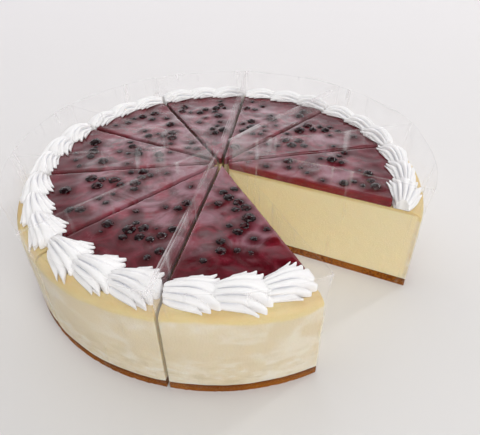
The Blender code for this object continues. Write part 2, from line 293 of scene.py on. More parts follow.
def put(name, bm, piece, kind, finish):
    """Makes the piece from bm, sets it in the cake and lets it stand for the slice's solid."""
    bm.transform(piece.matrix)
    mesh = bpy.data.meshes.new(name)
    bm.to_mesh(mesh)
    bm.free()
    mesh.materials.append(finish.material)
    for face in mesh.polygons:
        face.use_smooth = True
    mesh.set_sharp_from_angle(angle=math.radians(SHARP_EDGE_DEG))
    made = bpy.data.objects.new(name, mesh)
    bpy.context.scene.collection.objects.link(made)
    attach(made, "root")
    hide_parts(piece.node(kind))


def biscuit_finish():
    finish = Finish("pressed biscuit")
    finish.paint(Roughness=0.85, Specular_IOR_Level=0.05)
    crumbs = finish.cells(620.0)
    grains = finish.cloud(900.0, detail=4.0, roughness=0.65)
    toasted = finish.cloud(55.0, detail=2.0)
    # The outer edge is painted darker: partly toasted crust, partly painted shade, most towards its
    # top.
    outside = finish.radius().step(*BISCUIT_OUTSIDE)
    dark = (0.25 + 0.75 * crumbs.step(0.2, 0.75)) * (0.35 + 0.65 * toasted.step(0.3, 0.7))
    darker_top = finish.height().step(*BISCUIT_DARKER_TOP)
    rim = 0.35 + 0.30 * toasted.step(0.35, 0.65) + 0.40 * darker_top
    share = (dark * (1 - outside) + outside * rim).clamp()
    finish.paint(Base_Color=finish.blend(share, BISCUIT_LIGHT, BISCUIT_DARK))
    finish.bump((crumbs, CRUMB_RELIEF), (grains, GRAIN_RELIEF))
    return finish


biscuit = biscuit_finish()
for piece in slices:
    outer = piece.reach(CAKE_RADIUS)

    def biscuit_point(turn, reach, height):
        point = Vector((reach * math.cos(turn), reach * math.sin(turn), height))
        crumble = BISCUIT_CRUMBLE * piece.ripple(point, CRUMBLE_WAVES)
        if height > 0:
            point.z -= abs(crumble) * CRUMBLE_ON_TOP
        on_outside = outer - reach < CRUMBLED_DEPTH_OUTSIDE
        on_cut = piece.wall_distance(point) < CRUMBLED_DEPTH_CUT
        if on_outside or on_cut:
            inset = abs(crumble) + BISCUIT_CRUMBLE * CRUMBLE_INSET
            point.xy *= 1 - inset / point.length
        return point

    half = piece.half_angle
    bm = wedge_mesh(
        spaced(-half, half, BASE_PITCHES[0] / outer),
        spaced(TIP_LENGTH, outer, BASE_PITCHES[1]),
        spaced(0.0, BASE_THICKNESS, BASE_PITCHES[2]),
        biscuit_point,
    )
    put(f"biscuit_base_{piece.number:02d}", bm, piece, "base", biscuit)


# Baked filling: cream cheese batter baked in the tin and cut when cold. The top has browned to
# yellow and rolls over into the side, which the film has smeared pale and cloudy. The cut faces
# are smooth and full of tiny pores.

CAKE_HEIGHT = 0.0525
LAYER_GAP = 0.0003
CHEESE_PITCHES = (0.0016, 0.0028, 0.0026)
CORNER_STEPS = 4
SHOULDER_RADIUS = 0.0042
SHOULDER_SINK = 0.0009
SHOULDER_WAVES = 60.0
CORNER_RADIUS = 0.0003
SIDE_WAVE = 0.00035
SIDE_WAVES = (55.0, 160.0)
SKIN_OUTSIDE = (CAKE_RADIUS - 0.0035, CAKE_RADIUS - 0.0012)
SKIN_ON_TOP = (CAKE_HEIGHT - 0.0022, CAKE_HEIGHT - 0.0010)
YELLOW_BAND = (CAKE_HEIGHT - 0.0056, CAKE_HEIGHT - 0.0036)
YELLOW_BAND_SWAY = 0.012
BROWNED_BAND = (CAKE_HEIGHT - 0.0042, CAKE_HEIGHT - 0.0008)
BROWNED_BAND_SWAY = 0.004
DULL_FOOT = (0.010, 0.034)
PORE_RELIEF = 0.00010
CHEESE_RELIEF = 0.0004
CHEESE_SIDE = (0.730, 0.632, 0.454)
CHEESE_SMEAR = (0.774, 0.712, 0.596)
CHEESE_SHADE = (0.667, 0.552, 0.365)
CHEESE_MILKY = (0.783, 0.739, 0.650)
CHEESE_DULL = (0.587, 0.490, 0.311)
CHEESE_CUT = (0.86, 0.74, 0.46)
CHEESE_TOP = (0.737, 0.601, 0.300)
CHEESE_BROWNED = (0.673, 0.437, 0.155)
CHEESE_GLOW = (0.006, 0.0035, 0.0015)


def cheese_finish():
    finish = Finish("baked cheese")
    height = finish.height()
    side = finish.radius().step(*SKIN_OUTSIDE)
    drift = finish.cloud(38.0, detail=3.0)
    broad = finish.cloud(24.0, detail=2.0)
    level = finish.stretched(1.0, 1.0, 1.5)
    smears = finish.cloud(48.0, detail=4.0, roughness=0.55, place=level, distortion=0.5)
    pores = finish.cells(900.0)
    pits = finish.cells(150.0)
    band = (height + YELLOW_BAND_SWAY * (broad - 0.5)).step(*YELLOW_BAND)
    streaks = finish.cloud(105.0, detail=5.0, roughness=0.6, place=finish.stretched(1.0, 1.0, 2.6))
    low = 1 - height.step(*DULL_FOOT)
    browned = (height + BROWNED_BAND_SWAY * (broad - 0.5)).step(*BROWNED_BAND)
    wall = finish.blend(0.6 * broad.step(0.35, 0.65), CHEESE_SIDE, CHEESE_SHADE)
    wall = finish.blend(0.75 * smears.step(0.44, 0.66), wall, CHEESE_SMEAR)
    wall = finish.blend(low * streaks.step(0.50, 0.66) * 0.8, wall, CHEESE_MILKY)
    wall = finish.blend(low * (1 - streaks.step(0.34, 0.50)) * 0.6, wall, CHEESE_DULL)
    pitted = (1 - pits.step(0.03, 0.10)) * drift.step(0.50, 0.62)
    wall = finish.blend(0.45 * pitted, wall, CHEESE_BROWNED)
    crust = finish.blend((browned * 0.7 * drift.step(0.3, 0.7)).clamp(), CHEESE_TOP, CHEESE_BROWNED)
    outside = finish.blend(band, wall, crust)
    cut = finish.blend(0.25 * (1 - pores.step(0.1, 0.5)), CHEESE_CUT, CHEESE_SHADE)
    inside = finish.blend(height.step(*SKIN_ON_TOP), cut, crust)
    finish.paint(Base_Color=finish.blend(side, inside, outside))
    finish.paint(Roughness=0.42 + 0.25 * smears)
    finish.paint(Subsurface_Weight=0.25, Subsurface_Radius=CHEESE_GLOW, Subsurface_Scale=1.0)
    finish.bump((pores, PORE_RELIEF), (finish.cloud(160.0, detail=4.0), CHEESE_RELIEF))
    return finish


cheese = cheese_finish()
for piece in slices:
    outer = piece.reach(CAKE_RADIUS)
    half = piece.half_angle

    def cheese_point(turn, reach, height):
        drop, inset = rounded([CAKE_HEIGHT - height, outer - reach], SHOULDER_RADIUS)
        wall = reach * math.sin(half - abs(turn))
        inset, side = rounded([inset, wall], CORNER_RADIUS)
        reach = outer - inset
        point = Vector((reach * math.cos(turn), reach * math.sin(turn), CAKE_HEIGHT - drop))
        point.y -= math.copysign((side - wall) * math.cos(half), turn)
        on_side = inset < SHOULDER_RADIUS and drop > 0
        if on_side:
            upper = max(0.0, 1 - drop / SHOULDER_RADIUS)
            point.z -= SHOULDER_SINK * upper * (0.5 + 0.5 * piece.ripple(point, SHOULDER_WAVES))
            broad, narrow = SIDE_WAVES
            wave = piece.ripple(point, broad) * 0.6 + piece.ripple(point, narrow, 3.1) * 0.4
            point.xy *= 1 - SIDE_WAVE * (0.6 + wave) / reach
        return point

    corner = CORNER_RADIUS / outer
    middle_turns = spaced(corner - half, half - corner, CHEESE_PITCHES[0] / outer)
    corner_turns = [half - corner * (1 - i / CORNER_STEPS) for i in range(1, CORNER_STEPS + 1)]
    bm = wedge_mesh(
        [-turn for turn in corner_turns[::-1]] + middle_turns + corner_turns,
        spaced(TIP_LENGTH, outer, CHEESE_PITCHES[1], fine_end=SHOULDER_RADIUS),
        spaced(BASE_THICKNESS + LAYER_GAP, CAKE_HEIGHT, CHEESE_PITCHES[2], fine_end=SHOULDER_RADIUS),
        cheese_point,
    )
    put(f"baked_filling_{piece.number:02d}", bm, piece, "filling", cheese)


# Berry glaze: wine-red jelly poured hot over the set filling and cut with it, a few millimetres
# thick. Pale mauve patches of painted sheen stand in for its reflections, but not next to the
# border, where it is clear. It is dark round the berries, which it climbs a little. Light shining
# red through its cut edge is painted on as a glow, strongest on the cut faces at the open gap.

GLAZE_RADIUS = 0.103
GLAZE_THICKNESS = 0.0042
GLAZE_ROUNDING = 0.0012
GLAZE_PITCH = 0.0013
GLAZE_LAYER_PITCH = 0.0010
GLAZE_WAVE = 0.00040
GLAZE_WAVES = (95.0, 210.0)
MENISCUS = 0.32
MENISCUS_WIDTH = 1.25
MENISCUS_REACH = 2.4
MENISCUS_LEAST = 0.25
BERRY_CROWN = 0.75
GLAZE_BOTTOM = CAKE_HEIGHT + LAYER_GAP
GLAZE_TOP = GLAZE_BOTTOM + GLAZE_THICKNESS
GLAZE_CUT_EDGE = (GLAZE_TOP - 0.0022, GLAZE_TOP - 0.0006)
SWIRL_RELIEF = 0.00022
GLAZE_RELIEF = 0.00004
GLAZE_DEEP = (0.072, 0.0020, 0.0060)
GLAZE_WINE = (0.225, 0.0075, 0.0260)
GLAZE_PAINTED_SHEEN = (0.285, 0.1100, 0.1450)
GLAZE_PAINTED_GLOW = (0.20, 0.006, 0.009)
GLAZE_SHADE = (0.052, 0.0010, 0.0028)
GLAZE_PAINTED_SHEEN_SHARE = 0.80
GLAZE_GLOSS = 0.9
PAINTED_GLOW_REACH = 0.0030
SHUT_CUT_GLOW = 0.12
OPEN_CUTS = ((1, 1), (9, -1))
BERRY_SHADE = 0.85
BERRY_SHADE_REACH = 1.6
BERRY_SHADE_STEEPNESS = 4
CLEAR_RIM = (0.075, 0.094)
CLEAR_RIM_DEEPENING = 0.6
CLEAR_RIM_DULLING = 0.70

BERRIES_PER_SLICE = 13
BERRY_RADIUS = 0.0032
BERRY_SIZE_SPREAD = (0.78, 1.20)
BERRY_FLATNESS = (0.70, 0.86)
BERRY_BED = 0.0003
BERRY_PERCH = (-0.55, -0.05)
BERRY_FIELD = (0.013, 0.0965)
BERRY_WALL_CLEARANCE = 0.0012
BERRY_SPACING = 0.80
CLUSTER_CHANCE = 0.65
CLUSTER_STEP = (1.7, 2.2)
SCATTER_TRIES = 4000
SEED = 11


def scatter_berries(piece, draw):
    """The berries' places on one slice, the same ones as in the solid glaze."""
    inner, outer = BERRY_FIELD
    places = []
    cluster = None
    for _ in range(SCATTER_TRIES):
        if len(places) == BERRIES_PER_SLICE:
            break
        if cluster is None or draw.random() > CLUSTER_CHANCE:
            reach = math.sqrt(draw.uniform(inner**2, outer**2)) - piece.apex_offset
            angle = draw.uniform(-piece.half_angle, piece.half_angle)
            place = Vector((reach * math.cos(angle), reach * math.sin(angle), 0.0))
        else:
            turn = draw.uniform(0, 2 * math.pi)
            step = BERRY_RADIUS * draw.uniform(*CLUSTER_STEP)
            place = cluster + Vector((math.cos(turn), math.sin(turn), 0.0)) * step
        radius = BERRY_RADIUS * draw.uniform(*BERRY_SIZE_SPREAD)
        if place.x <= 0 or abs(math.atan2(place.y, place.x)) >= piece.half_angle:
            continue
        if piece.wall_distance(place) < radius + BERRY_WALL_CLEARANCE:
            continue
        if not inner - piece.apex_offset < place.length < piece.reach(outer) - radius:
            continue
        if any((place - other).length < BERRY_SPACING * (radius + size) for other, size in places):
            continue
        places.append((place, radius))
        cluster = place
    berries = []
    for place, radius in places:
        perch = radius * draw.uniform(*BERRY_PERCH)
        flatness = draw.uniform(*BERRY_FLATNESS)
        perch = max(perch, radius * flatness + BERRY_BED - GLAZE_THICKNESS)
        berries.append((place, radius, perch, flatness))
    return berries


SUNK_BERRIES = 5
SUNK_PERCH = -0.60
SUNK_SIZE_SPREAD = (0.7, 0.9)
SUNK_FLATNESS = (0.8, 0.95)


def sunk_berries(piece, berries, draw):
    """Smaller berries deeper in the jelly, of which only the crowns show."""
    inner, outer = BERRY_FIELD
    sunk = []
    for _ in range(SCATTER_TRIES):
        if len(sunk) == SUNK_BERRIES:
            break
        reach = math.sqrt(draw.uniform(inner**2, outer**2)) - piece.apex_offset
        angle = draw.uniform(-piece.half_angle, piece.half_angle)
        place = Vector((reach * math.cos(angle), reach * math.sin(angle), 0.0))
        radius = BERRY_RADIUS * draw.uniform(*SUNK_SIZE_SPREAD)
        if piece.wall_distance(place) < radius + BERRY_WALL_CLEARANCE:
            continue
        if place.length > piece.reach(outer) - radius:
            continue
        if any((place - other[0]).length < radius + other[1] for other in berries + sunk):
            continue
        sunk.append((place, radius, SUNK_PERCH * radius, draw.uniform(*SUNK_FLATNESS)))
    return sunk


def glaze_finish():
    finish = Finish("berry glaze")
    swirls = finish.cloud(70.0, detail=4.0, roughness=0.6, distortion=1.2)
    fine = finish.cloud(420.0, detail=3.0)
    wine = finish.blend(swirls.step(0.38, 0.68), GLAZE_DEEP, GLAZE_WINE)
    # Painted sheen: pale mauve patches that stand in for reflections, left out next to the border.
    sheen_patches = finish.cloud(34.0, detail=5.0, roughness=0.6, distortion=1.4).step(0.43, 0.63)
    near_rim = finish.radius().step(*CLEAR_RIM)
    wine = finish.blend(GLAZE_PAINTED_SHEEN_SHARE * sheen_patches * (1 - near_rim), wine, GLAZE_PAINTED_SHEEN)
    wine = finish.blend(CLEAR_RIM_DEEPENING * near_rim, wine, GLAZE_DEEP)
    # Painted glow: next to the cut faces the jelly is painted bright red for light shining through
    # it.
    edge = 1 - finish.height().step(*GLAZE_CUT_EDGE)
    painted_glow = finish.mark("painted_glow")
    patches = finish.cloud(130.0, detail=2.0).step(0.35, 0.6)
    glow = edge * (0.35 + 0.65 * patches) * (0.2 + 0.8 * painted_glow)
    lit = finish.blend((glow + painted_glow).clamp() * (0.55 + 0.45 * patches), wine, GLAZE_PAINTED_GLOW)
    shade = BERRY_SHADE * finish.mark("shade")
    finish.paint(Base_Color=finish.blend(shade, lit, GLAZE_SHADE))
    finish.paint(Coat_Weight=GLAZE_GLOSS * (1 - shade) * (1 - CLEAR_RIM_DULLING * near_rim))
    finish.paint(Roughness=0.10 + 0.18 * swirls.step(0.35, 0.75) + 0.05 * fine)
    finish.paint(IOR=1.45, Specular_IOR_Level=0.10, Coat_IOR=1.42, Coat_Roughness=0.12)
    finish.bump((swirls, SWIRL_RELIEF), (fine, GLAZE_RELIEF))
    return finish


glaze = glaze_finish()
berries_of = {}
for piece in slices:
    outer = piece.reach(GLAZE_RADIUS)
    half = piece.half_angle
    berries = scatter_berries(piece, random.Random(SEED * 100 + piece.number))
    berries += sunk_berries(piece, berries, random.Random(SEED * 300 + piece.number))
    berries_of[piece.number] = berries

    def glaze_point(turn, reach, height):
        wall = reach * math.sin(half - abs(turn))
        drop, inset, side = rounded([GLAZE_TOP - height, outer - reach, wall], GLAZE_ROUNDING)
        reach = outer - inset
        point = Vector((reach * math.cos(turn), reach * math.sin(turn), GLAZE_TOP - drop))
        point.y -= math.copysign((side - wall) * math.cos(half), turn)
        if height == GLAZE_BOTTOM:
            return point
        share = (height - GLAZE_BOTTOM) / GLAZE_THICKNESS
        broad, narrow = GLAZE_WAVES
        lift = GLAZE_WAVE * (piece.ripple(point, broad) + 0.5 * piece.ripple(point, narrow, 2.0))
        for place, radius, perch, _ in berries:
            gap = (point.xy - place.xy).length / radius
            if gap < MENISCUS_REACH:
                crown = max(MENISCUS_LEAST * radius, BERRY_CROWN * radius + perch)
                lift += crown * MENISCUS * math.exp(-((gap / MENISCUS_WIDTH) ** 2))
        point.z += lift * share
        return point

    bm = wedge_mesh(
        spaced(-half, half, GLAZE_PITCH / outer),
        spaced(TIP_LENGTH, outer, GLAZE_PITCH, fine_end=GLAZE_ROUNDING),
        spaced(GLAZE_BOTTOM, GLAZE_TOP, GLAZE_LAYER_PITCH, fine_end=GLAZE_ROUNDING),
        glaze_point,
    )
    shade_layer = bm.verts.layers.float.new("shade")
    painted_glow_layer = bm.verts.layers.float.new("painted_glow")
    for vert in bm.verts:
        if vert.co.z > GLAZE_TOP - GLAZE_ROUNDING:
            gap = min((vert.co.xy - place.xy).length / radius for place, radius, _, _ in berries)
            vert[shade_layer] = math.exp(-((gap / BERRY_SHADE_REACH) ** BERRY_SHADE_STEEPNESS))
        # Painted glow next to the cut faces, full on the two that face the open gap.
        glow = 1.0 if piece.nearer_cut(vert.co) in OPEN_CUTS else SHUT_CUT_GLOW
        vert[painted_glow_layer] = glow * math.exp(-max(0.0, piece.wall_distance(vert.co)) / PAINTED_GLOW_REACH)
    put(f"berry_glaze_{piece.number:02d}", bm, piece, "topping", glaze)


# Berries: small dark berries cooked in the glaze, so they are glossy, nearly black and a little
# wrinkled. They lie in loose clusters, half sunk, and the jelly climbs round them.

BERRY_SIDES = 28
BERRY_RINGS = 18
BERRY_TILT = 1.2
BERRY_TURN = 6.28
WRINKLE_DEPTH = 0.17
WRINKLE_WAVES = (2.3, 5.0)
FINE_WRINKLES = 0.7
WRINKLE_RELIEF = 0.00030
BERRY_SKIN = (0.009, 0.0012, 0.0026)
BERRY_JUICE = (0.045, 0.0012, 0.0040)


def berry_finish():
    finish = Finish("cooked berry skin")
    wrinkles = finish.cloud(560.0, detail=2.0, distortion=0.6)
    bloom = finish.cloud(330.0, detail=2.0)
    finish.paint(Base_Color=finish.blend(bloom.step(0.45, 0.7), BERRY_SKIN, BERRY_JUICE))
    finish.paint(Roughness=0.04 + 0.10 * wrinkles.step(0.4, 0.75))
    finish.paint(IOR=1.45, Specular_IOR_Level=0.34)
    finish.bump((wrinkles, WRINKLE_RELIEF))
    return finish


def berry_ball(bm, shape):
    """A closed ball of rings, with every point of the unit ball moved by shape."""
    rings = []
    for i in range(1, BERRY_RINGS):
        down = math.pi * i / BERRY_RINGS
        level = math.cos(down)
        wide = math.sin(down)
        ring = []
        for j in range(BERRY_SIDES):
            turn = 2 * math.pi * j / BERRY_SIDES
            spot = Vector((wide * math.cos(turn), wide * math.sin(turn), level))
            ring.append(bm.verts.new(shape(spot)))
        rings.append(ring)
    poles = [bm.verts.new(shape(Vector((0.0, 0.0, end)))) for end in (1.0, -1.0)]
    for j in range(BERRY_SIDES):
        bm.faces.new((poles[0], rings[0][j - 1], rings[0][j]))
        bm.faces.new((poles[1], rings[-1][j], rings[-1][j - 1]))
        for upper, lower in zip(rings, rings[1:]):
            bm.faces.new((upper[j], upper[j - 1], lower[j - 1], lower[j]))


berry_skin = berry_finish()
for piece in slices:
    draw = random.Random(SEED * 400 + piece.number)
    bm = bmesh.new()
    for place, radius, perch, flatness in berries_of[piece.number]:
        tilt = Matrix.Rotation(draw.uniform(0, BERRY_TILT), 4, "X")
        tilt = tilt @ Matrix.Rotation(draw.uniform(0, BERRY_TURN), 4, "Z")
        seed = Vector((draw.uniform(0, 50), draw.uniform(0, 50), draw.uniform(0, 50)))
        centre = Vector((place.x, place.y, GLAZE_TOP + perch))

        def berry_point(spot):
            broad, narrow = (noise.noise(spot * waves + seed) for waves in WRINKLE_WAVES)
            wrinkle = broad + FINE_WRINKLES * narrow
            turned = tilt @ spot * (1 + WRINKLE_DEPTH * wrinkle)
            turned.z *= flatness
            return centre + turned * radius

        berry_ball(bm, berry_point)
    bmesh.ops.recalc_face_normals(bm, faces=bm.faces)
    put(f"berries_{piece.number:02d}", bm, piece, "topping", berry_skin)


# Piped border: whipped cream pressed through a star tube, three shells to a slice. Each starts as
# a narrow ribbed tail on the shell before it, swells, and breaks into teeth at both sides.

SHELLS_PER_SLICE = 3
BORDER_RADIUS = 0.1084
SHELL_OVERLAP = 0.0042
SHELL_OVERLAP_USED = (0.75, 0.95)
SHELL_SIZE_SPREAD = (0.94, 1.05)
SHELL_TAIL_HALF_WIDTH = 0.0036
SHELL_HEAD_HALF_WIDTH = 0.0080
SHELL_TAIL_HEIGHT = 0.0050
SHELL_CREST_HEIGHT = 0.0090
SHELL_SWELL = 0.8
SHELL_CREST_PHASE = (0.10, 0.82)
SHELL_CREST_FULLNESS = 0.8
SHELL_ROUNDNESS = 0.45
SHELL_END_DROP = 0.35
SHELL_END_DROP_POWER = 6
SHELL_SIDE_SHORTENING = 0.42
SHELL_SIDE_SHORTENING_POWER = 1.5
SHELL_SPLAY = 0.50
SHELL_BREAK_POWER = 3
SHELF_WIDTHS = (0.0050, 0.0068)
SHELL_RIDGES = 6
RIDGE_COLUMNS = 10
SHELL_ROWS = 26
RIDGE_DEPTH = 0.0021
RIDGE_SHARE = 0.4
RIDGE_BLUNTNESS = 0.75
TAIL_RIDGE_SHARE = 0.35
TAIL_RIDGE_PHASE = 0.1
TOOTH_LENGTH = 0.0054
TOOTH_FLICKS = (0.0026, 0.0030)
TOOTH_SHARE = 0.6
TOOTH_BLUNTNESS = 0.9
TOOTH_RAGGED = 0.9
TOOTH_STRIDE = 1.7
TOOTH_LIFT = 0.0010
TOOTH_LIFT_SHARE = 0.3
CREAM_OUTER = 0.1194
CREAM_LEAN = 0.0008
CREAM_WOBBLE = 0.0009
CREAM_WOBBLE_WAVES = 1.5
CREAM_WOBBLE_OUT = 0.7
CREAM_WOBBLE_UP = 0.06
SHOULDER_HUG = 0.8
KNIFE_CLEARANCE = 0.0001
CREAM_WHITE = (0.94, 0.925, 0.92)
CREAM_GROOVE_SHADE = (0.75, 0.755, 0.79)
CREAM_GLOW = (0.0020, 0.0019, 0.0018)
CREAM_RELIEF = 0.0004


def shell_point(across, along, length, size, lean_in, seed):
    """Distance along the border, distance out from its middle line, height and depth of groove."""
    phase = (across + 1) / 2 * SHELL_RIDGES + 0.5
    round_ridge = math.sin(math.pi * (phase % 1.0))
    ridge = round_ridge**RIDGE_BLUNTNESS
    swell = along**SHELL_SWELL
    half_width = SHELL_TAIL_HALF_WIDTH + (SHELL_HEAD_HALF_WIDTH - SHELL_TAIL_HALF_WIDTH) * swell
    crest_phase = SHELL_CREST_PHASE[0] + (SHELL_CREST_PHASE[1] - SHELL_CREST_PHASE[0]) * along
    crest = math.sin(math.pi * crest_phase) ** SHELL_CREST_FULLNESS
    height = SHELL_TAIL_HEIGHT + (SHELL_CREST_HEIGHT - SHELL_TAIL_HEIGHT) * crest
    height *= 1 - SHELL_END_DROP * along**SHELL_END_DROP_POWER
    ridge_growth = math.sin(math.pi * min(1.0, TAIL_RIDGE_PHASE + along))
    rise = TAIL_RIDGE_SHARE + (1 - TAIL_RIDGE_SHARE) * ridge_growth
    relief = RIDGE_DEPTH * rise * (ridge - 1 + RIDGE_SHARE)
    broken = along**SHELL_BREAK_POWER
    tooth_seed = Vector((math.floor(phase) * TOOTH_STRIDE, seed, 0.5))
    ragged = 1 + TOOTH_RAGGED * noise.noise(tooth_seed)
    fringe = broken * (round_ridge**TOOTH_BLUNTNESS - 1 + TOOTH_SHARE) * ragged
    spread = abs(math.sin(across * math.pi / 2)) ** (1 - SHELL_SPLAY * broken)
    lean = math.copysign(spread, across)
    flick = TOOTH_FLICKS[0] if across < 0 else TOOTH_FLICKS[1]
    out = (half_width + relief + flick * fringe) * lean
    low, high = SHELF_WIDTHS
    on_glaze = max(0.0, min(1.0, (half_width - low) / (high - low)))
    shelf = (GLAZE_THICKNESS + LAYER_GAP) * on_glaze if across < 0 else 0.0
    up = (height + relief - shelf) * max(0.0, 1 - spread**2) ** SHELL_ROUNDNESS
    up = shelf + max(up, TOOTH_LIFT * (TOOTH_LIFT_SHARE + (1 - TOOTH_LIFT_SHARE) * ridge))
    end = length * (1 - SHELL_SIDE_SHORTENING * abs(across) ** SHELL_SIDE_SHORTENING_POWER)
    tooth = TOOTH_LENGTH * fringe * (0.5 + 0.5 * abs(across))
    return along * end + tooth, (out + lean_in * along**2) * size, up * size, (1 - ridge) * rise


def pipe_shell(bm, groove_layer, piece, start, length, size, lean_in, seed):
    """Adds one closed shell that starts at the given distance along the border."""
    middle = piece.reach(BORDER_RADIUS)
    columns = SHELL_RIDGES * RIDGE_COLUMNS
    widest = piece.half_angle - KNIFE_CLEARANCE / middle
    tops = []
    feet = []
    for j in range(SHELL_ROWS + 1):
        top_row = []
        foot_row = []
        for i in range(columns + 1):
            across = 2 * i / columns - 1
            along = j / SHELL_ROWS
            travel, out, up, groove = shell_point(across, along, length, size, lean_in, seed)
            waves = CREAM_WOBBLE_WAVES
            wobble = noise.noise_vector(Vector((across * waves, along * waves, seed)))
            travel += CREAM_WOBBLE * wobble.x
            out += CREAM_WOBBLE * CREAM_WOBBLE_OUT * wobble.y
            angle = max(-widest, min(widest, (start + travel) / middle))
            reach = min(middle + out, piece.reach(CREAM_OUTER))
            past_edge = reach - piece.reach(CAKE_RADIUS) + SHOULDER_RADIUS
            past_edge = max(0.0, min(SHOULDER_RADIUS, past_edge))
            droop = SHOULDER_RADIUS - math.sqrt(SHOULDER_RADIUS**2 - past_edge**2)
            bed = GLAZE_TOP if reach < piece.reach(GLAZE_RADIUS) else CAKE_HEIGHT - droop
            height = CAKE_HEIGHT + LAYER_GAP - SHOULDER_HUG * droop
            height += up * (1 + CREAM_WOBBLE_UP * wobble.z)
            height = max(bed + 2 * LAYER_GAP, height)
            top = bm.verts.new((reach * math.cos(angle), reach * math.sin(angle), height))
            top[groove_layer] = groove
            top_row.append(top)
            foot_row.append(bm.verts.new((top.co.x, top.co.y, bed + LAYER_GAP)))
        tops.append(top_row)
        feet.append(foot_row)
    for rows in (tops, feet):
        for low, high in zip(rows, rows[1:]):
            for i in range(columns):
                bm.faces.new((low[i], low[i + 1], high[i + 1], high[i]))
    rims = []
    for rows in (tops, feet):
        right = [row[-1] for row in rows[1:]]
        left = [row[0] for row in rows[-2:0:-1]]
        rims.append(rows[0] + right + rows[-1][-2::-1] + left)
    upper, lower = rims
    for i in range(len(upper)):
        bm.faces.new((upper[i - 1], upper[i], lower[i], lower[i - 1]))


def cream_finish():
    finish = Finish("whipped cream")
    groove = finish.mark("groove").step(0.25, 0.95)
    fluff = finish.cloud(260.0, detail=4.0, roughness=0.6)
    # The grooves are painted grey-lavender: painted shade in the creases between the ridges.
    finish.paint(Base_Color=finish.blend(groove, CREAM_WHITE, CREAM_GROOVE_SHADE))
    finish.paint(Roughness=0.42 + 0.2 * fluff)
    finish.paint(Subsurface_Weight=0.2, Subsurface_Radius=CREAM_GLOW, Subsurface_Scale=1.0)
    finish.bump((fluff, CREAM_RELIEF))
    return finish


cream = cream_finish()
# Without a seed, noise_vector starts from the clock, and the border would differ each run.
noise.seed_set(SEED)
for piece in slices:
    draw = random.Random(SEED * 200 + piece.number)
    extra = random.Random(SEED * 500 + piece.number)
    middle = piece.reach(BORDER_RADIUS)
    border = 2 * piece.half_angle * middle
    pitch = (border - SHELL_OVERLAP) / SHELLS_PER_SLICE
    bm = bmesh.new()
    groove_layer = bm.verts.layers.float.new("groove")
    for index in range(SHELLS_PER_SLICE):
        start = -border / 2 + index * pitch
        length = pitch + SHELL_OVERLAP * draw.uniform(*SHELL_OVERLAP_USED)
        size = draw.uniform(*SHELL_SIZE_SPREAD)
        lean_in = extra.uniform(-CREAM_LEAN, CREAM_LEAN)
        pipe_shell(bm, groove_layer, piece, start, length, size, lean_in, extra.uniform(0, 90))
    bmesh.ops.recalc_face_normals(bm, faces=bm.faces)
    put(f"piped_border_{piece.number:02d}", bm, piece, "cream", cream)


# Film wrap: a clear plastic band stood round each slice, from the tip along one cut face, round
# the baked side and back. It is taller than the cake, and its free edge waves and flares. It is
# misty where cream and glaze have touched it, and at the corners and along a few cut faces painted
# white reflections and highlights stand in for the light it catches, as on its creases and top edge.

FILM_HEIGHT = 0.070
FILM_FOOT = 0.0006
FILM_LEVELS_BELOW = (FILM_FOOT, BASE_THICKNESS, 0.013, 0.026, 0.039, CAKE_HEIGHT)
FILM_LEVELS_FREE = (0.0575, 0.0620, 0.0672, 0.0688, FILM_HEIGHT)
FILM_CLEARANCE = 0.0003
FILM_FLARE = 0.0022
FILM_WAVE = 0.0012
FILM_WAVES = 45.0
FILM_FLARE_POWER = 8
FILM_FREE_POWER = 1.3
FILM_START = 0.0045
FILM_PITCH = 0.0022
FILM_SHEEN = 0.07
CREASE_PAINTED_SHEEN = 0.20
CREASE_RELIEF = 0.0006
RIM_PAINTED_HIGHLIGHT = 0.65
FILM_WARM_PAINTED_REFLECTION = (0.95, 0.86, 0.66)
FILM_PALE = (0.93, 0.90, 0.91)
OUTER_RIM = 0.35
DULL_RIM = 0.30
BRIGHT_RIM_BELOW = 0.49
CLEAR_WALL = 0.02
SIDE_HAZE = 0.04
HAZE_FOOT = 0.013
FREE_HAZE = 2.0
CORNER_PAINTED_HIGHLIGHT = 0.16
CORNER_REACH = 0.006
TIP_HAZE = 0.10
TIP_REACH = 0.020
MISTY_AND_SHEEN_WALLS = {
    (6, -1): 0.50,
    (7, 1): 0.40,
    (7, -1): 0.10,
    (8, 1): 0.06,
    (1, -1): 0.08,
    (2, 1): 0.08,
}


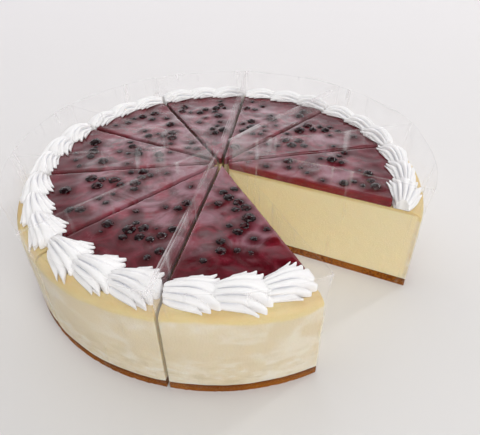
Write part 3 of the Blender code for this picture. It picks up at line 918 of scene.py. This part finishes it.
def film_finish():
    finish = Finish("clear film", Roughness=0.12)
    upright = finish.stretched(1.0, 1.0, 0.12)
    long_creases = finish.cloud(150.0, detail=3.0, place=upright, distortion=0.4)
    creased = long_creases.step(0.60, 0.74)
    haze = finish.cloud(45.0, detail=2.0)
    facing = finish.add("ShaderNodeLayerWeight", {}, Blend=0.5)["Facing"]
    sheen = 0.004 + 0.02 * haze + FILM_SHEEN * facing**4
    # Painted highlight along the film's top edge.
    edge = RIM_PAINTED_HIGHLIGHT * finish.mark("rim") * (0.30 + 0.70 * haze.step(0.42, 0.58))
    # Misty smears, with painted reflection at the corners and on a few cut faces.
    mist_and_sheen = finish.mark("mist_and_sheen") * (0.20 + 0.60 * haze.step(0.35, 0.65) + 1.2 * creased)
    # Painted sheen along the creases is added in here too.
    share = (sheen + CREASE_PAINTED_SHEEN * creased + mist_and_sheen + edge).clamp()
    # Below the top of the cake the film's white is painted warm: painted reflection of the cheese.
    above = finish.height().step(CAKE_HEIGHT - SHOULDER_RADIUS, CAKE_HEIGHT)
    finish.paint(Base_Color=finish.blend(above, FILM_WARM_PAINTED_REFLECTION, FILM_PALE), IOR=1.45, Metallic=0.1)
    finish.bump((long_creases, CREASE_RELIEF))
    clear = finish.add("ShaderNodeBsdfTransparent")["BSDF"]
    body = Value(finish, finish.shader.outputs["BSDF"])
    mixed = finish.add("ShaderNodeMixShader", {}, share, clear, body)["Shader"]
    finish.links.new(mixed.socket, finish.output.inputs["Surface"])
    return finish


def film_path(piece):
    """Plan of the band: out along one cut face, round the baked side and back in."""
    reach = piece.reach(CAKE_RADIUS) + FILM_CLEARANCE
    slide = FILM_CLEARANCE / math.sin(piece.half_angle)
    back = Vector((-slide, 0, 0))
    first = FILM_START + slide
    length = slide * math.cos(piece.half_angle) + math.sqrt(reach**2 - FILM_CLEARANCE**2)
    steps = round((length - FILM_START) / FILM_PITCH)
    walls = []
    for side in (-1, 1):
        direction = Vector((math.cos(piece.half_angle), side * math.sin(piece.half_angle), 0.0))
        stops = [first + (length - first) * i / steps for i in range(steps + 1)]
        walls.append([back + direction * stop for stop in stops])
    turns = round(2 * piece.half_angle * reach / FILM_PITCH)
    arc = []
    for i in range(1, turns):
        angle = piece.half_angle * (2 * i / turns - 1)
        arc.append(Vector((reach * math.cos(angle), reach * math.sin(angle), 0.0)))
    return walls[0] + arc + walls[1][::-1]


film = film_finish()
for piece in slices:
    path = film_path(piece)
    outer = piece.reach(CAKE_RADIUS)
    wall_end = outer - 2 * FILM_CLEARANCE
    bm = bmesh.new()
    rim_layer = bm.verts.layers.float.new("rim")
    mist_and_sheen_layer = bm.verts.layers.float.new("mist_and_sheen")
    rows = []
    for height in FILM_LEVELS_BELOW + FILM_LEVELS_FREE:
        above = height > CAKE_HEIGHT
        free = max(0.0, (height - CAKE_HEIGHT) / (FILM_HEIGHT - CAKE_HEIGHT)) ** FILM_FREE_POWER
        row = []
        for place in path:
            spot = Vector((place.x, place.y, height))
            spot.z += FILM_WAVE * piece.ripple(place, FILM_WAVES) * free
            flare = FILM_FLARE + FILM_WAVE * piece.ripple(place, -FILM_WAVES, 1.7)
            flare *= (place.length / outer) ** FILM_FLARE_POWER
            spot += place.normalized() * flare * free
            corner = bm.verts.new(spot)
            # Smears of cream and glaze with painted sheen: on the listed cut faces, and near the
            # corners of the baked side, where it is painted highlight.
            if place.length < wall_end:
                haze = MISTY_AND_SHEEN_WALLS.get(piece.nearer_cut(place), CLEAR_WALL)
                if above:
                    haze += TIP_HAZE * math.exp(-((place.length / TIP_REACH) ** 2))
            else:
                haze = CORNER_PAINTED_HIGHLIGHT * math.exp(-piece.wall_distance(place) / CORNER_REACH)
                haze = (SIDE_HAZE + haze) * min(1.0, height / HAZE_FOOT)
                if above:
                    haze *= FREE_HAZE
            corner[mist_and_sheen_layer] = haze
            row.append(corner)
        rows.append(row)
    for low, high in zip(rows, rows[1:]):
        for i in range(len(path) - 1):
            bm.faces.new((low[i], low[i + 1], high[i + 1], high[i]))
    bmesh.ops.recalc_face_normals(bm, faces=bm.faces)
    # Painted highlight along the top edge, brightest on the listed cut faces.
    for vert, lower, place in zip(rows[-1], rows[-2], path):
        if place.length > wall_end:
            vert[rim_layer] = OUTER_RIM
        elif piece.nearer_cut(place) in MISTY_AND_SHEEN_WALLS:
            vert[rim_layer] = 1.0
            lower[rim_layer] = BRIGHT_RIM_BELOW
        else:
            vert[rim_layer] = DULL_RIM
    put(f"film_wrap_{piece.number:02d}", bm, piece, "film", film)


# The table: a plain pale top, wide enough to fill the view, in a pale room that is darker towards
# its ceiling. A long window behind the cake and a broad lamp in front light it, with a soft lamp
# overhead, weak ones high on both sides, and a small low sun on the right that gives the glints.

FLOOR_SIZE = 3.0
FLOOR_COLOUR = (0.78, 0.765, 0.755)
ROOM_COLOUR = (1.0, 0.985, 0.97, 1.0)
ROOM_FADE = {"From Min": 0.20, "From Max": 0.60, "To Min": 0.42, "To Max": 0.05}
WINDOW_COLOUR = (0.97, 0.94, 1.0)
CAKE_MIDDLE = (0, 0, 0.03)
CAKE_TOP = (0, 0, 0.05)

floor_mesh = bmesh.new()
bmesh.ops.create_grid(floor_mesh, x_segments=1, y_segments=1, size=FLOOR_SIZE / 2)
floor_data = bpy.data.meshes.new("table_top")
floor_mesh.to_mesh(floor_data)
floor_mesh.free()
table = bpy.data.objects.new("table_top", floor_data)
bpy.context.scene.collection.objects.link(table)
table_finish = Finish("pale table top")
table_finish.paint(Base_Color=FLOOR_COLOUR, Roughness=0.6)
floor_data.materials.append(table_finish.material)

world = bpy.data.worlds.new("pale room")
bpy.context.scene.world = world
world.use_nodes = True
room = world.node_tree.nodes.new("ShaderNodeMapRange")
room.interpolation_type = "SMOOTHSTEP"
for name, value in ROOM_FADE.items():
    room.inputs[name].default_value = value
where = world.node_tree.nodes.new("ShaderNodeTexCoord")
sides = world.node_tree.nodes.new("ShaderNodeSeparateXYZ")
background = world.node_tree.nodes["Background"]
background.inputs["Color"].default_value = ROOM_COLOUR
world.node_tree.links.new(where.outputs["Generated"], sides.inputs[0])
world.node_tree.links.new(sides.outputs["Z"], room.inputs["Value"])
world.node_tree.links.new(room.outputs["Result"], background.inputs["Strength"])
bpy.context.scene.view_settings.view_transform = "Standard"


def soft_box(name, place, aim, width, height, watts, colour=(1.0, 1.0, 1.0)):
    """A softly glowing panel at place that faces aim."""
    data = bpy.data.lights.new(name, "AREA")
    data.shape = "RECTANGLE"
    data.size = width
    data.size_y = height
    data.energy = watts
    data.color = colour
    lamp = bpy.data.objects.new(name, data)
    lamp.location = place
    lamp.rotation_euler = (Vector(aim) - Vector(place)).to_track_quat("-Z", "Y").to_euler()
    bpy.context.scene.collection.objects.link(lamp)


window = (0.0, 1.20, 0.65)
soft_box("back_window", window, CAKE_TOP, width=3.2, height=0.85, watts=13.0, colour=WINDOW_COLOUR)
soft_box("low_sun", (1.15, 0.55, 0.95), CAKE_TOP, width=0.12, height=0.12, watts=3.0)
soft_box("overhead", (-0.35, 0.45, 1.35), CAKE_MIDDLE, width=1.2, height=1.2, watts=5.0)
soft_box("high_left", (-1.3, 0.1, 1.1), CAKE_MIDDLE, width=1.0, height=1.0, watts=1.0)
soft_box("high_right", (1.3, 0.1, 1.2), CAKE_MIDDLE, width=1.0, height=1.0, watts=2.0)
soft_box("front", (0.4, -1.4, 1.2), CAKE_MIDDLE, width=1.7, height=1.2, watts=25.4)


# The view: close in front of the cake and looking down at it, with the gap between slices on the
# right. The camera is turned a little to the right and rolled a little, as one held by hand is.

PHOTO_WIDTH = 480
FOCAL_PIXELS = 458.0
SENSOR = 36.0
LOOK_YAW_DEG = 2.69
LOOK_DOWN_DEG = 37.28
LOOK_ROLL_DEG = -1.16
EYE = Vector((-0.0007, -0.2448, 0.2000))

yaw, down, roll = (math.radians(angle) for angle in (LOOK_YAW_DEG, LOOK_DOWN_DEG, LOOK_ROLL_DEG))
ahead = Vector((math.sin(yaw) * math.cos(down), math.cos(yaw) * math.cos(down), -math.sin(down)))
right = Vector((math.cos(yaw), -math.sin(yaw), 0.0))
up = right.cross(ahead)
tilted_right = right * math.cos(roll) + up * math.sin(roll)
tilted_up = up * math.cos(roll) - right * math.sin(roll)
axes = Matrix((tilted_right, tilted_up, -ahead)).transposed().to_4x4()
camera_data = bpy.data.cameras.new("view")
camera_data.sensor_width = SENSOR
camera_data.lens = FOCAL_PIXELS / PHOTO_WIDTH * SENSOR
camera_data.clip_start = 0.01
camera = bpy.data.objects.new("view", camera_data)
camera.matrix_world = Matrix.Translation(EYE) @ axes
bpy.context.scene.collection.objects.link(camera)
bpy.context.scene.camera = camera
